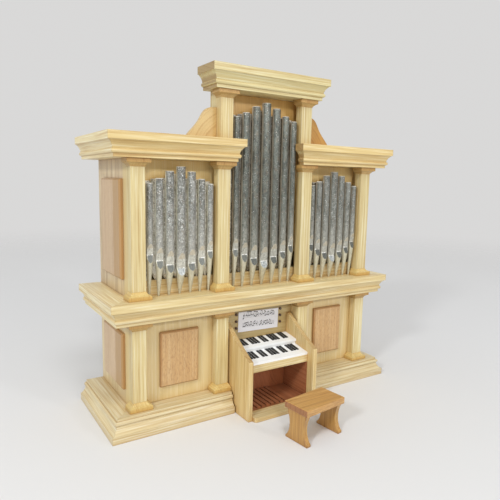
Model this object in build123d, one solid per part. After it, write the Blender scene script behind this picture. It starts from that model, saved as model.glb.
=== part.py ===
from build123d import *
import os
from math import cos, radians, sin

# A wooden miniature pipe organ with its console and bench. Millimetres, +Z up.
# X runs along the front, and "depth" counts forward from the flat back of the case.

# Case, bays and storeys
case_depth = 51.7
tower_bay = 49.8
side_bay = 43.9
wall = 4.0
back_board = 3.0
pipe_board = 1.4
top_board = 4.0
lower_storey = 49.8
upper_storey = 75.6
tower_storey = 27.5

# Mouldings: one section, used upright in the cornices and upside down in the plinth
fascia = 4.2
quirk = 0.5
cove_height = 4.2
cove_hollow = 0.6
bead_height = 2.4
bead_swell = 0.8
fillet_height = 1.9
plinth_fillet_height = 1.4
section_inset = 3.6
overhang = 13.7
plinth_overhang = 14.3
crown_side_overhang = 8.5
crown_front_overhang = 7.3
cornice_return = 6.2

# Posts, their base blocks and capitals
post_width = 8.0
post_thickness = 5.9
tower_inset = 1.5
tower_setback = 0.6
block_height = 4.4
block_flat = 2.2
block_flare = 2.6
block_curve_ratio = 0.62
block_gap = 0.2

# Curved brackets beside the tower
wing_thickness = 2.8
wing_reach = 19.2
wing_height = 17.8
wing_flat = 3.0
wing_shoulder_reach = 10.6
wing_shoulder_height = 10.4
wing_top_slope = 0.1
wing_toe_slope = 0.62

# Raised panels, placed by the margins round them
raised_margin = 9.95
raised_sill = 8.4
raised_head = 8.8
raised_thickness = 2.2
raised_bevel = 0.8
side_panel_back_margin = 11.2
side_panel_front_margin = 6.4
upper_panel_sill = 9.6
upper_panel_head = 10.8

# Pipes: seven in front in each bay and seven behind them, listed from the middle pipe outwards
side_pipe_diameters = (5.2, 4.8, 4.3, 3.7)
tower_pipe_diameters = (5.5, 5.0, 4.5, 3.9)
pipe_drops = (0.0, 2.6, 6.6, 9.2)
foot_heights = (12.6, 14.9, 17.6, 21.2)
foot_setback = 1.4
side_pipe_head = 3.6
tower_pipe_head = 4.6
foot_tip_radius = 0.55
foot_gap = 0.3
tower_pipe_margin = 4.1
front_row_gap = 1.65
row_spacing = 6.0
back_row_gap = 0.1
lower_cut_height = 2.4
lower_cut_length = 4.9
upper_cut_ratio = 1.75
cut_depth_ratio = 0.75
lip_depth_ratio = 0.5
lip_height_ratio = 0.6
pipe_chamfer = 0.25
back_diameter = 5.2
back_foot_heights = (3.0, 3.4, 4.2, 5.2)
back_pipe_drops = (4.0, 6.4, 7.0, 8.0)
toe_board_height = 8.5
toe_board_setback = 1.9
wind_slot = 9.8

# Console
console_gap = 1.2
plinth_gap = 0.8
cheek_thickness = 2.8
cheek_length = 29.6
cheek_top_length = 1.6
cheek_rise = 4.6
cheek_head = 9.0
cheek_hollow = 0.8
cheek_rounding = 0.8
desk_board = 2.8
desk_setback = 1.2
floor_thickness = 2.7
floor_nosing = 2.9
floor_rounding = 2.5
kneehole_height = 26.5
kneehole_veneer = 0.6
key_bed_thickness = 4.7
upper_keys_length = 11.5
lower_keys_length = 12.0
manual_thickness = 1.4
manual_step = 5.3
manual_lip = 0.8
manual_slope = 0.16
keys_across = 20.5
sharp_width_ratio = 0.74
sharp_height = 0.35
upper_sharp_margin = 3.4
lower_sharp_margin = 4.8
upper_first_note = "A"
upper_first_key = 1.32
lower_first_note = "D"
lower_first_key = 0.74
pedal_length = 23.1
pedal_base = 0.7
pedal_height = 1.6
pedal_count = 7
pedal_pitch = 3.4
pedal_gap = 0.9
pedals_shift = -3.3
sheet_height = 13.0
sheet_side_gap = 1.6
sheet_thickness = 0.3
sheet_tilt = 1.5
knob_radius = 0.8
knob_rounding = 0.48
knob_length = 1.3
knob_margin = 5.5
knob_pitch = 4.4
knob_lift = 1.2

# Bench, turned a little to the organ
bench_x = -0.8
bench_distance = 26.9
bench_turn = 7.0
seat_length = 29.8
seat_width = 17.5
seat_thickness = 3.7
bench_height = 21.0
seat_rounding = 0.4
leg_thickness = 2.8
leg_inset = 1.0
leg_top_inset = 1.15
leg_waist_inset = 3.35
leg_foot_inset = 0.55
leg_waist_height = 10.6
leg_foot_height = 1.2
leg_foot_slope = 1.125
leg_top_slope = 0.5

# Levels
plinth_height = fascia + cove_height + bead_height + plinth_fillet_height
moulding_height = fascia + cove_height + bead_height + fillet_height
belt_bottom = plinth_height + lower_storey
belt_top = belt_bottom + moulding_height
cornice_bottom = belt_top + upper_storey
cornice_top = cornice_bottom + moulding_height
crown_bottom = cornice_top + tower_storey

# Places across the front, from the middle outwards
tower_post_edge = tower_bay / 2
tower_outer = tower_post_edge + post_width
inner_post_edge = tower_post_edge + tower_inset
inner_post_outer = inner_post_edge + post_width
outer_post_edge = inner_post_outer + side_bay
case_half_width = outer_post_edge + post_width
bay_centre = inner_post_outer + side_bay / 2
inner_wall = case_half_width - wall
moulding_half_width = case_half_width + overhang
plinth_half_width = case_half_width + plinth_overhang
cornice_inner_end = inner_post_edge - cornice_return
cheek_outer = inner_post_edge - console_gap
cheek_inner = cheek_outer - cheek_thickness
plinth_inner_end = cheek_outer + plinth_gap
side_outer_pipe = side_bay / 2 - block_flare - foot_gap - foot_tip_radius
tower_outer_pipe = tower_post_edge - tower_pipe_margin

# Places from the back forward
post_front = case_depth + post_thickness
tower_depth = post_front - tower_setback
moulding_depth = case_depth + overhang
plinth_depth = case_depth + plinth_overhang
toe_board_front = case_depth - toe_board_setback
front_row_depth = toe_board_front + front_row_gap + tower_pipe_diameters[0] / 2
back_row_depth = front_row_depth - row_spacing
strip_back = back_row_depth - back_diameter / 2 - back_row_gap
moulding_stock = moulding_depth - strip_back
plinth_strip_back = plinth_depth - moulding_stock
desk_depth = case_depth - desk_setback
cheek_depth = desk_depth + cheek_length
floor_depth = cheek_depth + floor_nosing
upper_manual_depth = desk_depth + upper_keys_length
key_bed_depth = upper_manual_depth + lower_keys_length
bench_depth = floor_depth + bench_distance
bench_reach = seat_length / 2 * sin(radians(bench_turn)) + seat_width / 2 * cos(radians(bench_turn))
overall_depth = bench_depth + bench_reach

# Heights in the console
key_bed_top = kneehole_height + key_bed_thickness
lower_keys_top = key_bed_top + manual_thickness
upper_keys_top = lower_keys_top + manual_step
upper_keys_back = upper_keys_top + upper_keys_length * manual_slope
music_board_middle = (upper_keys_back + belt_bottom) / 2
knob_column = cheek_inner - knob_margin
sheet_half_width = knob_column - sheet_side_gap


def board(x0, x1, depth0, depth1, z0, z1):
    """A straight board between two sides, two depths and two heights."""
    centre = Pos((x0 + x1) / 2, -(depth0 + depth1) / 2, (z0 + z1) / 2)
    return centre * Box(abs(x1 - x0), abs(depth1 - depth0), abs(z1 - z0))


def pair(solid):
    """A piece and its mirror image across the middle of the organ."""
    return [solid, mirror(solid, about=Plane.YZ)]


def moulding_edges(height, place):
    """Fascia, quirk, cove, bead and fillet, from the outer top corner down and in."""
    cove_top = height - fascia
    cove_foot = cove_top - cove_height
    bead_foot = cove_foot - bead_height
    return [
        Line(place(0, height), place(0, cove_top)),
        Line(place(0, cove_top), place(quirk, cove_top)),
        ThreePointArc(
            place(quirk, cove_top),
            place(section_inset / 2 + cove_hollow, (cove_top + cove_foot) / 2),
            place(section_inset - quirk, cove_foot),
        ),
        ThreePointArc(
            place(section_inset - quirk, cove_foot),
            place(section_inset - quirk - bead_swell, (cove_foot + bead_foot) / 2),
            place(section_inset - quirk, bead_foot),
        ),
        Line(place(section_inset - quirk, bead_foot), place(section_inset, bead_foot)),
        Line(place(section_inset, bead_foot), place(section_inset, 0)),
    ]


def block_edges(height, place):
    """A flat band and a hollow that runs in to the post."""
    band_foot = height - block_flat
    return [
        Line(place(0, height), place(0, band_foot)),
        ThreePointArc(
            place(0, band_foot),
            place(block_flare * block_curve_ratio, band_foot * block_curve_ratio),
            place(block_flare, 0),
        ),
    ]


def plain_edges(height, place):
    """A straight end with no section."""
    return [Line(place(0, height), place(0, 0))]


def moulded_block(x0, x1, depth0, depth1, z0, height, section, ends, upside_down=False):
    """A block with a section along its front and, where wanted, along its left and right ends."""

    def level(v):
        return z0 + (height - v if upside_down else v)

    def front(inset, v):
        return (x0, -(depth1 - inset), level(v))

    def left(inset, v):
        return (x0 + inset, -depth1, level(v))

    def right(inset, v):
        return (x1 - inset, -depth1, level(v))

    side_wire = section(height, front)
    side_wire += Polyline(side_wire[-1] @ 1, (x0, -depth0, level(0)), (x0, -depth0, level(height)),
                          side_wire[0] @ 0).edges()
    along_x = extrude(make_face(side_wire), amount=x1 - x0, dir=(1, 0, 0))
    left_wire = (section if ends[0] else plain_edges)(height, left)
    right_wire = (section if ends[1] else plain_edges)(height, right)
    closing = [Line(left_wire[-1] @ 1, right_wire[-1] @ 1), Line(left_wire[0] @ 0, right_wire[0] @ 0)]
    end_face = make_face(left_wire + right_wire + closing)
    along_depth = extrude(end_face, amount=depth1 - depth0, dir=(0, 1, 0))
    return along_x & along_depth


def plan_prism(corners, z0, z1):
    """A straight-sided solid standing on a plan given as (x, depth) corners."""
    outline = Polyline(*[(x, -depth, z0) for x, depth in corners], close=True)
    return extrude(make_face(outline), amount=z1 - z0, dir=(0, 0, 1))


def mitred_strips(block, half_width, depth, inner_end, z0):
    """The front strip and the right-hand side strip of a moulded block, mitred at the corner."""
    inner_x = half_width - moulding_stock
    inner_depth = depth - moulding_stock
    z1 = z0 + moulding_height
    front_plan = [(inner_end, depth), (half_width, depth), (inner_x, inner_depth), (inner_end, inner_depth)]
    side_plan = [(half_width, 0), (half_width, depth), (inner_x, inner_depth), (inner_x, 0)]
    return block & plan_prism(front_plan, z0, z1), block & plan_prism(side_plan, z0, z1)


def plinth():
    """The skirting round the foot of the case, in two halves beside the console."""
    block = moulded_block(plinth_inner_end, plinth_half_width, 0, plinth_depth, 0, plinth_height,
                          moulding_edges, (False, True), upside_down=True)
    return mitred_strips(block, plinth_half_width, plinth_depth, plinth_inner_end, 0)


def belt():
    """The moulding between the storeys, in one length along the front."""
    block = moulded_block(-moulding_half_width, moulding_half_width, 0, moulding_depth, belt_bottom,
                          moulding_height, moulding_edges, (True, True))
    inner_x = moulding_half_width - moulding_stock
    front_plan = [(-moulding_half_width, moulding_depth), (moulding_half_width, moulding_depth),
                  (inner_x, strip_back), (-inner_x, strip_back)]
    front = block & plan_prism(front_plan, belt_bottom, belt_top)
    side = mitred_strips(block, moulding_half_width, moulding_depth, 0, belt_bottom)[1]
    return front, side


def cornice():
    """The moulding over a side bay, returned at the inner end and cut away behind for the tall pipes."""
    block = moulded_block(cornice_inner_end, moulding_half_width, 0, moulding_depth, cornice_bottom,
                          moulding_height, moulding_edges, (True, True))
    block -= board(cornice_inner_end, inner_post_edge, 0, post_front, cornice_bottom, cornice_top)
    return mitred_strips(block, moulding_half_width, moulding_depth, cornice_inner_end, cornice_bottom)


def post_at(inner_x, z0, z1, depth1):
    """A square post, standing between its base block and its capital."""
    return board(inner_x, inner_x + post_width, depth1 - post_thickness, depth1, z0, z1)


def block_at(inner_x, z0, depth1, base, inner_flare=block_flare):
    """A base block or a capital round a post, wider than it by the flare."""
    full = moulded_block(inner_x - block_flare, inner_x + post_width + block_flare,
                         depth1 - post_thickness, depth1 + block_flare, z0, block_height,
                         block_edges, (True, True), upside_down=base)
    trim = block_flare - inner_flare
    if trim > 0:
        full -= board(inner_x - block_flare, inner_x - inner_flare, depth1 - post_thickness,
                      depth1 + block_flare, z0, z0 + block_height)
    return full


def storey_posts(z0, z1, inner_base_flare):
    """The posts of one storey with their base blocks and capitals."""
    depth1 = post_front
    posts, bases, capitals = [], [], []
    for inner_x, flare in ((inner_post_edge, inner_base_flare), (outer_post_edge, block_flare)):
        posts += pair(post_at(inner_x, z0 + block_height, z1 - block_height, depth1))
        bases += pair(block_at(inner_x, z0, depth1, True, flare))
        capitals += pair(block_at(inner_x, z1 - block_height, depth1, False))
    return posts, bases, capitals


def bevelled(solid, direction, bevel):
    """A raised panel with the edges of its show face bevelled."""
    face = solid.faces().sort_by(direction)[-1]
    return chamfer(face.edges(), bevel)


def wing():
    """A curved bracket that stands on the cornice against the tower."""
    foot = (tower_outer, -case_depth, cornice_top)
    top = (tower_outer, -case_depth, cornice_top + wing_height)
    flat_end = (tower_outer + wing_flat, -case_depth, cornice_top + wing_height)
    shoulder = (tower_outer + wing_shoulder_reach, -case_depth, cornice_top + wing_shoulder_height)
    toe = (tower_outer + wing_reach, -case_depth, cornice_top)
    sweep_line = Spline(flat_end, shoulder, toe,
                        tangents=((1, 0, -wing_top_slope), (wing_toe_slope, 0, -1)))
    outline = [Line(foot, top), Line(top, flat_end), sweep_line, Line(toe, foot)]
    return extrude(make_face(outline), amount=wing_thickness, dir=(0, 1, 0))


def turned_pipe(radius, foot_height, height, tip_setback=0.0):
    """A round pipe with a small chamfer at its top and a tapered foot, whose tip may be set back."""
    tip = Pos(0, tip_setback, 0) * Circle(foot_tip_radius)
    foot = loft([tip.face(), (Pos(0, 0, foot_height) * Circle(radius)).face()])
    outline = Polyline(
        (0, 0, foot_height),
        (radius, 0, foot_height),
        (radius, 0, height - pipe_chamfer),
        (radius - pipe_chamfer, 0, height),
        (0, 0, height),
        close=True,
    )
    return foot + revolve(make_face(outline), Axis.Z)


def front_pipe(x, diameter, foot_height, height):
    """A pipe with a mouth above its foot: a cut that slopes in, a steep lip and an arched top."""
    radius = diameter / 2
    cut = radius * cut_depth_ratio
    lip = radius * lip_depth_ratio
    crease = foot_height + lower_cut_height
    cut_foot = crease - lower_cut_length
    lip_top = crease + diameter * upper_cut_ratio * lip_height_ratio
    cut_top = crease + diameter * upper_cut_ratio
    reach = radius
    mouth = Polyline(
        (-diameter, -radius - reach, cut_foot - lower_cut_length * reach / cut),
        (-diameter, -radius + cut, crease),
        (-diameter, -radius + lip, lip_top),
        (-diameter, -radius - reach, cut_top + (cut_top - lip_top) * reach / lip),
        close=True,
    )
    notch = extrude(make_face(mouth), amount=2 * diameter, dir=(1, 0, 0))
    pipe = turned_pipe(radius, foot_height, height, foot_setback) - notch
    return Pos(x, -front_row_depth, belt_top) * pipe


def back_pipe(x, foot_height, top):
    """A plain pipe of the second row, standing on the toe board."""
    base = belt_top + toe_board_height
    return Pos(x, -back_row_depth, base) * turned_pipe(back_diameter / 2, foot_height, top - base)


def pipe_offsets(diameters, outer_offset):
    """How far each pipe stands from the middle one, with even gaps out to the last."""
    filled = sum(diameters) - (diameters[0] + diameters[-1]) / 2
    gap = (outer_offset - filled) / (len(diameters) - 1)
    offsets = [0.0]
    for nearer, further in zip(diameters, diameters[1:]):
        offsets.append(offsets[-1] + (nearer + further) / 2 + gap)
    return offsets


def pipe_bay(centre, diameters, outer_offset, middle_height):
    """Both rows of pipes of one bay: tops fall and mouths rise from the middle outwards."""
    front, back = [], []
    offsets = pipe_offsets(diameters, outer_offset)
    for rank, offset in enumerate(offsets):
        height = middle_height - pipe_drops[rank]
        back_top = belt_top + middle_height - back_pipe_drops[rank]
        for side in ((1, -1) if rank else (1,)):
            x = centre + side * offset
            front.append(front_pipe(x, diameters[rank], foot_heights[rank], height))
            back.append(back_pipe(x, back_foot_heights[rank], back_top))
    return front, back


def console_cheek():
    """A side of the console, with a slightly hollow sloping edge."""
    shoulder = (cheek_inner, -desk_depth - cheek_top_length, belt_bottom - cheek_head)
    nose = (cheek_inner, -cheek_depth, key_bed_top + cheek_rise)
    middle = (cheek_inner, (shoulder[1] + nose[1]) / 2, (shoulder[2] + nose[2]) / 2 - cheek_hollow)
    straight = Polyline(nose, (cheek_inner, -cheek_depth, 0), (cheek_inner, -desk_depth, 0),
                        (cheek_inner, -desk_depth, shoulder[2]), shoulder)
    outline = straight.edges() + [ThreePointArc(shoulder, middle, nose)]
    cheek = extrude(make_face(outline), amount=cheek_thickness, dir=(1, 0, 0))
    slope_ends = [edge for edge in cheek.edges().filter_by(Axis.X)
                  if edge.center().Z > floor_thickness and edge.center().Y < -desk_depth - cheek_rounding]
    return fillet(slope_ends, cheek_rounding)


def manual(front, z_top, foot):
    """A bank of white keys that slopes down to the player, over foot corners listed from the back."""
    z_back = z_top + (front - desk_depth) * manual_slope
    corners = foot + [(front, z_top), (desk_depth, z_back)]
    outline = Polyline(*[(-cheek_inner, -depth, z) for depth, z in corners], close=True)
    return extrude(make_face(outline), amount=2 * cheek_inner, dir=(1, 0, 0))


def sharps(front, back, z_top, margin, first_note, first_key):
    """The raised black keys of one manual, in the usual groups of two and three.

    The first white key has its own width, as a share of a full one.
    """
    notes = "CDEFGAB"
    pitch = 2 * cheek_inner / keys_across
    width = pitch * sharp_width_ratio
    key_front = front - margin
    keys = []
    for number in range(int(keys_across - first_key)):
        note = notes[(notes.index(first_note) + number) % len(notes)]
        if note in "EB":
            continue
        x = -cheek_inner + pitch * (number + first_key)
        z_front = z_top + margin * manual_slope
        z_back = z_top + (front - back) * manual_slope
        corners = [(key_front, z_front), (key_front, z_front + sharp_height),
                   (back, z_back + sharp_height), (back, z_back)]
        outline = Polyline(*[(x - width / 2, -depth, z) for depth, z in corners], close=True)
        keys.append(extrude(make_face(outline), amount=width, dir=(1, 0, 0)))
    return keys


def pedal_board():
    """A row of flat pedals on a thin board that fills the kneehole from side to side."""
    z0 = floor_thickness
    half_width = cheek_inner - kneehole_veneer
    front = desk_depth + pedal_length
    solid = board(-half_width, half_width, desk_depth, front, z0, z0 + pedal_base)
    first_x = pedals_shift - (pedal_count * pedal_pitch - pedal_gap) / 2
    for number in range(pedal_count):
        x0 = first_x + pedal_pitch * number
        solid += board(x0, x0 + pedal_pitch - pedal_gap, desk_depth, front, z0, z0 + pedal_height)
    return solid


def music_sheet():
    """A sheet stuck to the music board, slightly askew."""
    sheet = Box(2 * sheet_half_width, sheet_thickness, sheet_height)
    return Pos(0, -desk_depth - sheet_thickness / 2, music_board_middle) * Rot(0, sheet_tilt, 0) * sheet


def console_floor():
    """The board under the player's feet, rounded at its front corners."""
    solid = board(-cheek_inner, cheek_inner, plinth_strip_back, floor_depth, 0, floor_thickness)
    corners = solid.edges().filter_by(Axis.Z).group_by(Axis.Y)[0]
    return fillet(corners, floor_rounding)


def stop_knob(x, z):
    """A small domed stop knob on the music board."""
    stem = Pos(x, -desk_depth - knob_length / 2, z) * Rot(90, 0, 0) * Cylinder(knob_radius, knob_length)
    return fillet(stem.edges().group_by(Axis.Y)[0], knob_rounding)


def bench_leg(side):
    """A waisted board under one end of the seat."""
    top = bench_height - seat_thickness
    outer_x = side * (seat_length / 2 - leg_inset)
    x0 = min(outer_x, outer_x - side * leg_thickness)

    def edge(sign):
        foot_y, waist_y, top_y = (sign * (seat_width / 2 - inset)
                                  for inset in (leg_foot_inset, leg_waist_inset, leg_top_inset))
        foot = Line((x0, foot_y, 0), (x0, foot_y, leg_foot_height))
        curve = Spline((x0, foot_y, leg_foot_height), (x0, waist_y, leg_waist_height), (x0, top_y, top),
                       tangents=((0, -sign * leg_foot_slope, 1), (0, sign * leg_top_slope, 1)))
        return [foot, curve]

    near, far = edge(1), edge(-1)
    closing = [Line(near[0] @ 0, far[0] @ 0), Line(near[1] @ 1, far[1] @ 1)]
    return extrude(make_face(near + far + closing), amount=leg_thickness, dir=(1, 0, 0))


def bench_place(solid):
    """Turns a bench piece and sets it in front of the console."""
    return Pos(bench_x, -bench_depth, 0) * Rot(0, 0, bench_turn) * solid


nodes = {}

# Plinth, belt and cornices
plinth_front, plinth_side = plinth()
nodes["base_fronts"] = pair(plinth_front)
nodes["base_sides"] = pair(plinth_side)
belt_front, belt_side = belt()
nodes["belt_front"] = [belt_front]
nodes["belt_sides"] = pair(belt_side)
cornice_front, cornice_side = cornice()
nodes["cornice_fronts"] = pair(cornice_front)
nodes["cornice_sides"] = pair(cornice_side)
crown_half_width = tower_outer + crown_side_overhang
crown_depth = tower_depth + crown_front_overhang
nodes["centre_cornice"] = [
    moulded_block(-crown_half_width, crown_half_width, strip_back - pipe_board, crown_depth, crown_bottom,
                  moulding_height, moulding_edges, (True, True))
]
rail_x = moulding_half_width - moulding_stock
plinth_rail_x = plinth_half_width - moulding_stock
nodes["back_rails"] = [
    board(-plinth_rail_x, plinth_rail_x, 0, wall, 0, plinth_height),
    board(-rail_x, rail_x, 0, wall, belt_bottom, belt_top),
    board(-rail_x, rail_x, 0, wall, cornice_bottom, cornice_top),
]
nodes["bottom_board"] = [
    board(-plinth_rail_x, plinth_rail_x, wall, plinth_strip_back, 0, back_board)
]
tower_wall_inner = tower_outer - wall
nodes["case_top"] = [
    board(-rail_x, rail_x, wall, strip_back, cornice_top - top_board, cornice_top)
    - board(-tower_wall_inner, tower_wall_inner, strip_back - pipe_board, strip_back,
            cornice_top - top_board, cornice_top)
]

# Walls and panels of the two storeys
nodes["lower_side_walls"] = pair(
    board(inner_wall, case_half_width, 0, case_depth, plinth_height, belt_bottom))
nodes["upper_side_walls"] = pair(
    board(inner_wall, case_half_width, 0, case_depth, belt_top, cornice_bottom))
nodes["lower_front_panels"] = pair(
    board(plinth_inner_end, inner_wall, case_depth - wall, case_depth, plinth_height, belt_bottom))
nodes["lower_back_panel"] = [board(-inner_wall, inner_wall, 0, back_board, plinth_height, belt_bottom)]
nodes["upper_back_panel"] = [board(-inner_wall, inner_wall, 0, back_board, belt_top, cornice_bottom)]
nodes["front_raised_panels"] = pair(bevelled(
    board(inner_post_outer + raised_margin, outer_post_edge - raised_margin, case_depth,
          case_depth + raised_thickness, plinth_height + raised_sill, belt_bottom - raised_head),
    -Axis.Y, raised_bevel))
side_panel_front = case_depth - side_panel_front_margin
nodes["lower_side_raised_panels"] = pair(bevelled(
    board(case_half_width, case_half_width + raised_thickness, side_panel_back_margin, side_panel_front,
          plinth_height + raised_sill, belt_bottom - raised_head), Axis.X, raised_bevel))
nodes["upper_side_raised_panels"] = pair(bevelled(
    board(case_half_width, case_half_width + raised_thickness, side_panel_back_margin, side_panel_front,
          belt_top + upper_panel_sill, cornice_bottom - upper_panel_head), Axis.X, raised_bevel))

# Posts
lower = storey_posts(plinth_height, belt_bottom, console_gap - block_gap)
upper = storey_posts(belt_top, cornice_bottom, block_flare)
nodes["lower_posts"], nodes["lower_post_bases"], nodes["lower_post_capitals"] = lower
nodes["upper_posts"], nodes["upper_post_bases"], nodes["upper_post_capitals"] = upper

# Tower
nodes["tower_posts"] = pair(post_at(tower_post_edge, cornice_top, crown_bottom - block_height, tower_depth))
nodes["tower_post_capitals"] = pair(
    block_at(tower_post_edge, crown_bottom - block_height, tower_depth, False))
nodes["tower_walls"] = pair(
    board(tower_wall_inner, tower_outer, strip_back - pipe_board, tower_depth - post_thickness,
          cornice_top, crown_bottom))
nodes["tower_back_panel"] = [
    board(-tower_wall_inner, tower_wall_inner, strip_back - pipe_board, strip_back,
          cornice_bottom, crown_bottom)
]
nodes["wings"] = pair(wing())

# Pipes and the boards round them
nodes["toe_board"] = [
    board(-inner_wall, inner_wall, strip_back, toe_board_front, belt_top, belt_top + toe_board_height)
]
nodes["pipe_backboard"] = [
    board(-inner_wall, inner_wall, strip_back - pipe_board, strip_back,
          belt_top + toe_board_height + wind_slot, cornice_bottom)
]
side_pipe_height = upper_storey - side_pipe_head
tower_pipe_height = crown_bottom - belt_top - tower_pipe_head
for name, centre, diameters, outer_offset, middle_height in (
    ("left", -bay_centre, side_pipe_diameters, side_outer_pipe, side_pipe_height),
    ("centre", 0.0, tower_pipe_diameters, tower_outer_pipe, tower_pipe_height),
    ("right", bay_centre, side_pipe_diameters, side_outer_pipe, side_pipe_height),
):
    front_row, back_row = pipe_bay(centre, diameters, outer_offset, middle_height)
    nodes[f"front_pipes_{name}"] = front_row
    nodes[f"back_pipes_{name}"] = back_row

# Console
nodes["console_cheeks"] = pair(console_cheek())
nodes["console_floor"] = [console_floor()]
nodes["kneehole_back"] = [
    board(-plinth_inner_end, plinth_inner_end, desk_depth - desk_board, desk_depth, floor_thickness,
          kneehole_height)
]
nodes["kneehole_sides"] = pair(
    board(cheek_inner - kneehole_veneer, cheek_inner, desk_depth, key_bed_depth, floor_thickness,
          kneehole_height))
nodes["pedal_board"] = [pedal_board()]
nodes["key_bed"] = [
    board(-cheek_inner, cheek_inner, desk_depth, key_bed_depth, kneehole_height, key_bed_top)
]
lower_foot = [(desk_depth, key_bed_top), (key_bed_depth, key_bed_top)]
nodes["lower_manual"] = [manual(key_bed_depth, lower_keys_top, lower_foot)]
upper_foot_depth = upper_manual_depth - manual_lip
upper_foot = [
    (desk_depth, lower_keys_top + (key_bed_depth - desk_depth) * manual_slope),
    (upper_foot_depth, lower_keys_top + (key_bed_depth - upper_foot_depth) * manual_slope),
    (upper_foot_depth, upper_keys_top - manual_thickness),
    (upper_manual_depth, upper_keys_top - manual_thickness),
]
nodes["upper_manual"] = [manual(upper_manual_depth, upper_keys_top, upper_foot)]
nodes["lower_sharps"] = sharps(key_bed_depth, upper_foot_depth, lower_keys_top, lower_sharp_margin,
                               lower_first_note, lower_first_key)
nodes["upper_sharps"] = sharps(upper_manual_depth, desk_depth, upper_keys_top, upper_sharp_margin,
                               upper_first_note, upper_first_key)
nodes["music_board"] = [
    board(-plinth_inner_end, plinth_inner_end, desk_depth - desk_board, desk_depth, kneehole_height,
          belt_bottom)
]
nodes["music_sheet"] = [music_sheet()]
nodes["stop_knobs"] = [
    stop_knob(side * knob_column, music_board_middle + knob_lift + row * knob_pitch)
    for side in (-1, 1)
    for row in (-1, 0, 1)
]

# Bench
nodes["bench_seat"] = [bench_place(fillet(
    board(-seat_length / 2, seat_length / 2, -seat_width / 2, seat_width / 2,
          bench_height - seat_thickness, bench_height).edges(), seat_rounding))]
nodes["bench_legs"] = [bench_place(bench_leg(side)) for side in (-1, 1)]

os.makedirs("parts", exist_ok=True)
for name, solids in nodes.items():
    placed = [Pos(0, overall_depth / 2, 0) * solid for solid in solids]
    shape = placed[0] if len(placed) == 1 else Compound(children=placed)
    export_step(shape, f"parts/{name}.step")
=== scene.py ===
import math
import random
from collections import namedtuple

import bmesh
import bpy
from mathutils import Matrix, Vector


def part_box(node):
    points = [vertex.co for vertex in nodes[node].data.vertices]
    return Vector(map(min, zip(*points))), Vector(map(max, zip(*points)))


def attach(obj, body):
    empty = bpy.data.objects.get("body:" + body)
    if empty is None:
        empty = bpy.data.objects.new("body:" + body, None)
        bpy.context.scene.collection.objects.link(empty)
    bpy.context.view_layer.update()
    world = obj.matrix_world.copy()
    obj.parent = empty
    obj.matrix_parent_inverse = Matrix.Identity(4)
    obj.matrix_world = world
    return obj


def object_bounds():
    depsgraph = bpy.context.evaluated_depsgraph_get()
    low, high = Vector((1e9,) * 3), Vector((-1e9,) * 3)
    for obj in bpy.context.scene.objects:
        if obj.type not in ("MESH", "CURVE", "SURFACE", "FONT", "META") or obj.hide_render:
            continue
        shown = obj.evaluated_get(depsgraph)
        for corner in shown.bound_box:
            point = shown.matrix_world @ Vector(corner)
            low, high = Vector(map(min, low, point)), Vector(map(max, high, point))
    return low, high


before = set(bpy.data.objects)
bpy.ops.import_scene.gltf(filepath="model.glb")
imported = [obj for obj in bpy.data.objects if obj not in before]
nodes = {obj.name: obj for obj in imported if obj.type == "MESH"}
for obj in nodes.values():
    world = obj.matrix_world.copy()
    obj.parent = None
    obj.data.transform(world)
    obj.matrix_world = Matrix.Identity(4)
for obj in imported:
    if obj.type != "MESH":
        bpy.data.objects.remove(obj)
cad_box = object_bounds()

MM = 0.001
# Nearly all of a noise lies within this range
NOISE_RANGE = (0.3, 0.7)


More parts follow.
